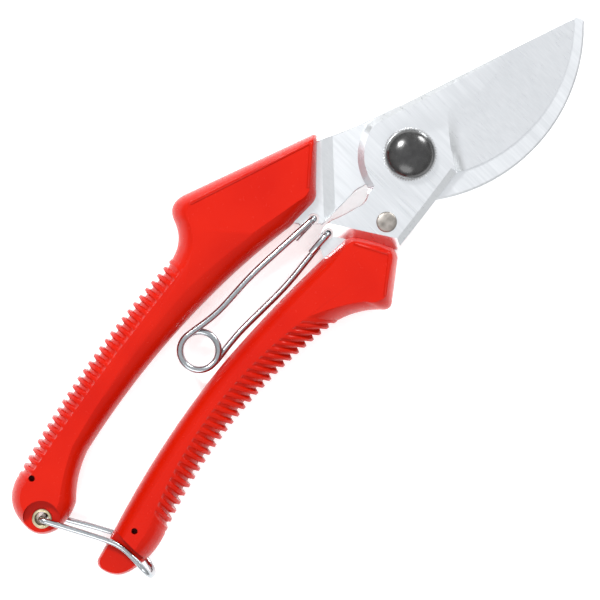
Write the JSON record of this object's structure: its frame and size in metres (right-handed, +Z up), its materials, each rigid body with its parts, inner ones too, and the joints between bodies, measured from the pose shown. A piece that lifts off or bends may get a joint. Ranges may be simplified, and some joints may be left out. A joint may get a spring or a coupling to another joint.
{
  "type": "pruning shears",
  "caption": "Bypass pruning shears with curved blade over hooked counter blade, ridged grips, hairpin spring and wire catch.",
  "frame": {"origin": "on the pivot axis, at the flat rear face of the pivot bolt's head, level with the undersides of both grips", "axes": "+X towards the blade tips, +Y towards the upper grip, +Z up through the pivot towards the domed nut"},
  "size_m": [0.2004, 0.0664, 0.0159],
  "materials": {
    "blade_steel": "fine ground",
    "red_plastic": "glossy",
    "dark_steel": "blackened",
    "black_nut": "glossy black",
    "washer_steel": "bright",
    "pin_steel": "dull",
    "spring_wire": "drawn wire",
    "eyelet_brass": "tarnished",
    "catch_wire": "drawn wire"
  },
  "bodies": {
    "counter_half": {"counter_blade": "blade_steel", "upper_grip": "red_plastic", "pivot_bolt": "dark_steel", "pivot_nut": "black_nut", "lock_ring": "washer_steel", "catch_eyelet": "eyelet_brass"},
    "cutting_half": {"cutting_blade": "blade_steel", "lower_grip": "red_plastic", "stop_pin": "pin_steel"},
    "spring_upper": {"spring_coil": "spring_wire"},
    "spring_lower": {"spring_arm": "spring_wire"},
    "catch": {"catch_wire": "catch_wire"}
  },
  "joints": [
    {"name": "pivot", "type": "hinge", "parent": "counter_half", "child": "cutting_half", "pos_m": [0, 0, 0.0075], "axis": [0, 0, 1], "range_deg": [0, 27]},
    {"name": "spring_ear", "type": "hinge", "parent": "counter_half", "child": "spring_upper", "pos_m": [-0.03, 0.006, 0.0075], "axis": [0, 0, 1], "range_deg": [0, 18]},
    {"name": "spring_coil_turn", "type": "hinge", "parent": "spring_upper", "child": "spring_lower", "pos_m": [-0.0762, 0.0027, 0.0075], "axis": [0, 0, 1], "range_deg": [-18, 0]},
    {"name": "catch_swing", "type": "hinge", "parent": "counter_half", "child": "catch", "pos_m": [-0.1367, 0.0007, 0.0075], "axis": [0, 0, 1], "range_deg": [-136, 0]}
  ],
  "couplings": [
    {"joint": "spring_ear", "follows": "pivot", "ratio": 0.615},
    {"joint": "spring_coil_turn", "follows": "pivot", "ratio": -0.648},
    {"joint": "catch_swing", "follows": "pivot", "ratio": -5}
  ]
}
